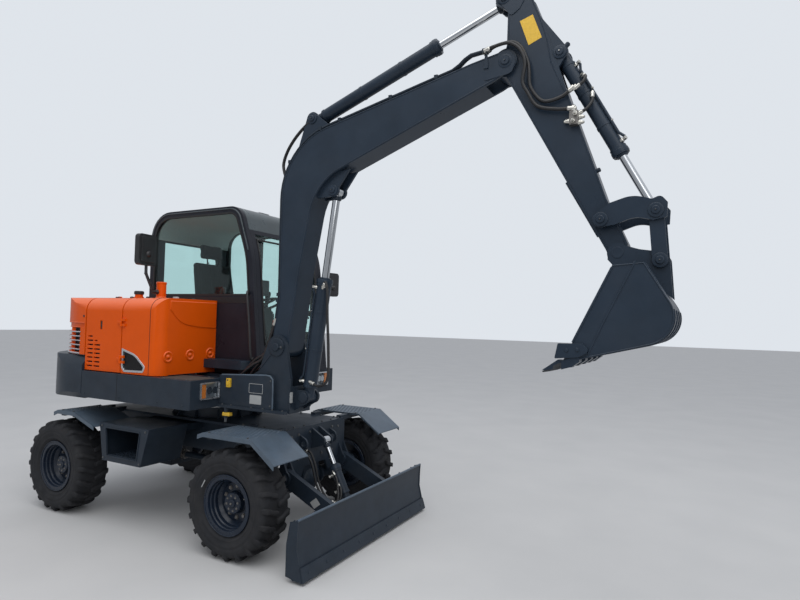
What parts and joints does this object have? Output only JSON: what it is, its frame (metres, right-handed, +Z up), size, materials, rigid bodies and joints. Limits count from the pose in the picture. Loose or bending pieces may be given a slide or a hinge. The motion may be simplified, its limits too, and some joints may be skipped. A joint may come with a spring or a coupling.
{
  "type": "wheeled excavator",
  "caption": "Compact wheeled excavator with an enclosed cab, gooseneck boom, arm and bucket, a dozer blade in front and a rounded tail",
  "frame": {"origin": "bottom centre of the whole machine's box, on the ground under the tyres", "axes": "+X forward towards the blade and bucket, +Y to the machine's left, +Z up"},
  "size_m": [5.7327, 1.9672, 4.1152],
  "materials": {
    "frame_paint": "satin",
    "deck_paint": "satin",
    "body_paint": "gloss",
    "rod_chrome": "polished",
    "tyre_rubber": "matte",
    "rim_paint": "gloss",
    "glass_tint": "clear",
    "black_plastic": "matte",
    "seat_cover": "woven",
    "lamp_lens": "clear",
    "engine_metal": "cast"
  },
  "bodies": {
    "chassis": {"chassis_frame": "frame_paint", "tie_downs": "frame_paint", "slew_ring": "frame_paint", "front_axle": "frame_paint", "rear_axle": "frame_paint", "drive_shaft": "frame_paint", "fenders": "deck_paint", "side_boxes": "frame_paint"},
    "upper": {"upper_frame": "frame_paint", "skirts": "frame_paint", "counterweight": "frame_paint", "engine": "engine_metal", "side_cover": "body_paint", "cab_floor": "frame_paint", "cab_right": "frame_paint", "cab_left": "frame_paint", "cab_rear": "frame_paint", "cab_front": "frame_paint", "cab_roof": "frame_paint", "cab_glass": "glass_tint", "seat": "seat_cover", "controls": "black_plastic", "mirrors": "black_plastic", "lamps": "lamp_lens"},
    "hood": {"engine_hood": "body_paint"},
    "side_door": {"side_door": "body_paint"},
    "cab_door": {"cab_door": "frame_paint", "door_glass": "glass_tint"},
    "knuckle_left": {"knuckle_left": "frame_paint"},
    "knuckle_right": {"knuckle_right": "frame_paint"},
    "steering_rod": {"steering_rod": "rod_chrome"},
    "blade": {"blade": "frame_paint"},
    "blade_barrel": {"blade_barrel": "frame_paint"},
    "blade_rod": {"blade_rod": "rod_chrome"},
    "boom": {"boom": "frame_paint"},
    "boom_barrel": {"boom_barrel": "frame_paint"},
    "boom_rod": {"boom_rod": "rod_chrome"},
    "arm": {"arm": "frame_paint"},
    "arm_barrel": {"arm_barrel": "frame_paint"},
    "arm_rod": {"arm_rod": "rod_chrome"},
    "rocker": {"rocker": "frame_paint"},
    "bucket_link": {"bucket_link": "frame_paint"},
    "bucket": {"bucket": "frame_paint"},
    "bucket_barrel": {"bucket_barrel": "frame_paint"},
    "bucket_rod": {"bucket_rod": "rod_chrome"},
    "wheel_front_left": {"tyre_front_left": "tyre_rubber", "rim_front_left": "rim_paint"},
    "wheel_front_right": {"tyre_front_right": "tyre_rubber", "rim_front_right": "rim_paint"},
    "wheel_rear_left": {"tyre_rear_left": "tyre_rubber", "rim_rear_left": "rim_paint"},
    "wheel_rear_right": {"tyre_rear_right": "tyre_rubber", "rim_rear_right": "rim_paint"}
  },
  "joints": [
    {"name": "slew", "type": "hinge", "parent": "chassis", "child": "upper", "pos_m": [-1.2165, 0, 1.02], "axis": [0, 0, 1], "continuous": true},
    {"name": "steer_left", "type": "hinge", "parent": "chassis", "child": "knuckle_left", "pos_m": [-0.1665, 0.64, 0.415], "axis": [0, 0, 1], "range_deg": [-30, 30]},
    {"name": "steer_right", "type": "hinge", "parent": "chassis", "child": "knuckle_right", "pos_m": [-0.1665, -0.64, 0.415], "axis": [0, 0, 1], "range_deg": [-30, 30]},
    {"name": "steer_slide", "type": "slide", "parent": "chassis", "child": "steering_rod", "axis": [0, 1, 0], "range_m": [-0.055, 0.055]},
    {"name": "roll_front_left", "type": "hinge", "parent": "knuckle_left", "child": "wheel_front_left", "pos_m": [-0.1665, 0.804, 0.415], "axis": [0, 1, 0], "continuous": true},
    {"name": "roll_rear_left", "type": "hinge", "parent": "chassis", "child": "wheel_rear_left", "pos_m": [-2.3065, 0.804, 0.415], "axis": [0, 1, 0], "continuous": true},
    {"name": "roll_front_right", "type": "hinge", "parent": "knuckle_right", "child": "wheel_front_right", "pos_m": [-0.1665, -0.804, 0.415], "axis": [0, 1, 0], "continuous": true},
    {"name": "roll_rear_right", "type": "hinge", "parent": "chassis", "child": "wheel_rear_right", "pos_m": [-2.3065, -0.804, 0.415], "axis": [0, 1, 0], "continuous": true},
    {"name": "blade_lift", "type": "hinge", "parent": "chassis", "child": "blade", "pos_m": [-0.0165, 0, 0.53], "axis": [0, -1, 0], "range_deg": [-22, 25]},
    {"name": "blade_barrel_swing", "type": "hinge", "parent": "blade", "child": "blade_barrel", "pos_m": [0.3235, 0, 0.28], "axis": [0, -1, 0], "range_deg": [-8, 8]},
    {"name": "blade_rod_slide", "type": "slide", "parent": "blade_barrel", "child": "blade_rod", "axis": [-0.4643, 0, 0.8857], "range_m": [-0.082, 0.072]},
    {"name": "boom_lift", "type": "hinge", "parent": "upper", "child": "boom", "pos_m": [-0.0265, -0.44, 1.6], "axis": [0, -1, 0], "range_deg": [-85, 20]},
    {"name": "boom_barrel_swing", "type": "hinge", "parent": "upper", "child": "boom_barrel", "pos_m": [0.2035, -0.44, 1.21], "axis": [0, -1, 0], "range_deg": [-76, 18]},
    {"name": "boom_rod_slide", "type": "slide", "parent": "boom_barrel", "child": "boom_rod", "axis": [0.1334, 0, 0.9911], "range_m": [-0.576, 0.136]},
    {"name": "arm_swing", "type": "hinge", "parent": "boom", "child": "arm", "pos_m": [1.8185, -0.44, 3.588], "axis": [0, 1, 0], "range_deg": [-73, 45]},
    {"name": "arm_barrel_swing", "type": "hinge", "parent": "boom", "child": "arm_barrel", "pos_m": [0.2085, -0.44, 3.44], "axis": [0, 1, 0], "range_deg": [-2, 2]},
    {"name": "arm_rod_slide", "type": "slide", "parent": "arm_barrel", "child": "arm_rod", "axis": [0.9362, 0, 0.3514], "range_m": [-0.434, 0.268]},
    {"name": "bucket_curl", "type": "hinge", "parent": "arm", "child": "bucket", "pos_m": [2.5395, -0.44, 2.277], "axis": [0, -1, 0], "range_deg": [-95, 90]},
    {"name": "rocker_swing", "type": "hinge", "parent": "arm", "child": "rocker", "pos_m": [2.4455, -0.44, 2.476], "axis": [0, -1, 0], "range_deg": [-70, 66]},
    {"name": "link_swing", "type": "hinge", "parent": "bucket", "child": "bucket_link", "pos_m": [2.7755, -0.44, 2.223], "axis": [0, -1, 0], "range_deg": [-63, 67]},
    {"name": "bucket_barrel_swing", "type": "hinge", "parent": "arm", "child": "bucket_barrel", "pos_m": [2.1715, -0.44, 3.59], "axis": [0, -1, 0], "range_deg": [-7, 7]},
    {"name": "bucket_rod_slide", "type": "slide", "parent": "bucket_barrel", "child": "bucket_rod", "axis": [0.4748, 0, -0.8801], "range_m": [-0.271, 0.286]},
    {"name": "cab_door_swing", "type": "hinge", "parent": "upper", "child": "cab_door", "pos_m": [-1.4915, 0.795, 1.98], "axis": [0, 0, 1], "range_deg": [0, 160]},
    {"name": "side_door_swing", "type": "hinge", "parent": "upper", "child": "side_door", "pos_m": [-1.4865, -0.912, 1.6], "axis": [0, 0, 1], "range_deg": [0, 80]},
    {"name": "hood_lift", "type": "hinge", "parent": "upper", "child": "hood", "pos_m": [-2.0025, 0, 1.992], "axis": [0, 1, 0], "range_deg": [0, 55]}
  ],
  "couplings": [
    {"joint": "steer_right", "follows": "steer_left", "ratio": 1},
    {"joint": "steer_slide", "follows": "steer_left", "m_per_rad": 0.105},
    {"joint": "blade_barrel_swing", "follows": "blade_lift", "ratio": -0.31},
    {"joint": "blade_rod_slide", "follows": "blade_lift", "m_per_rad": -0.185},
    {"joint": "boom_barrel_swing", "follows": "boom_lift", "ratio": 0.883},
    {"joint": "boom_rod_slide", "follows": "boom_lift", "m_per_rad": 0.3876},
    {"joint": "arm_barrel_swing", "follows": "arm_swing", "ratio": 0.01},
    {"joint": "arm_rod_slide", "follows": "arm_swing", "m_per_rad": 0.34},
    {"joint": "rocker_swing", "follows": "bucket_curl", "ratio": 0.72},
    {"joint": "link_swing", "follows": "bucket_curl", "ratio": -0.69},
    {"joint": "bucket_barrel_swing", "follows": "bucket_curl", "ratio": 0.06},
    {"joint": "bucket_rod_slide", "follows": "bucket_curl", "m_per_rad": -0.172}
  ]
}
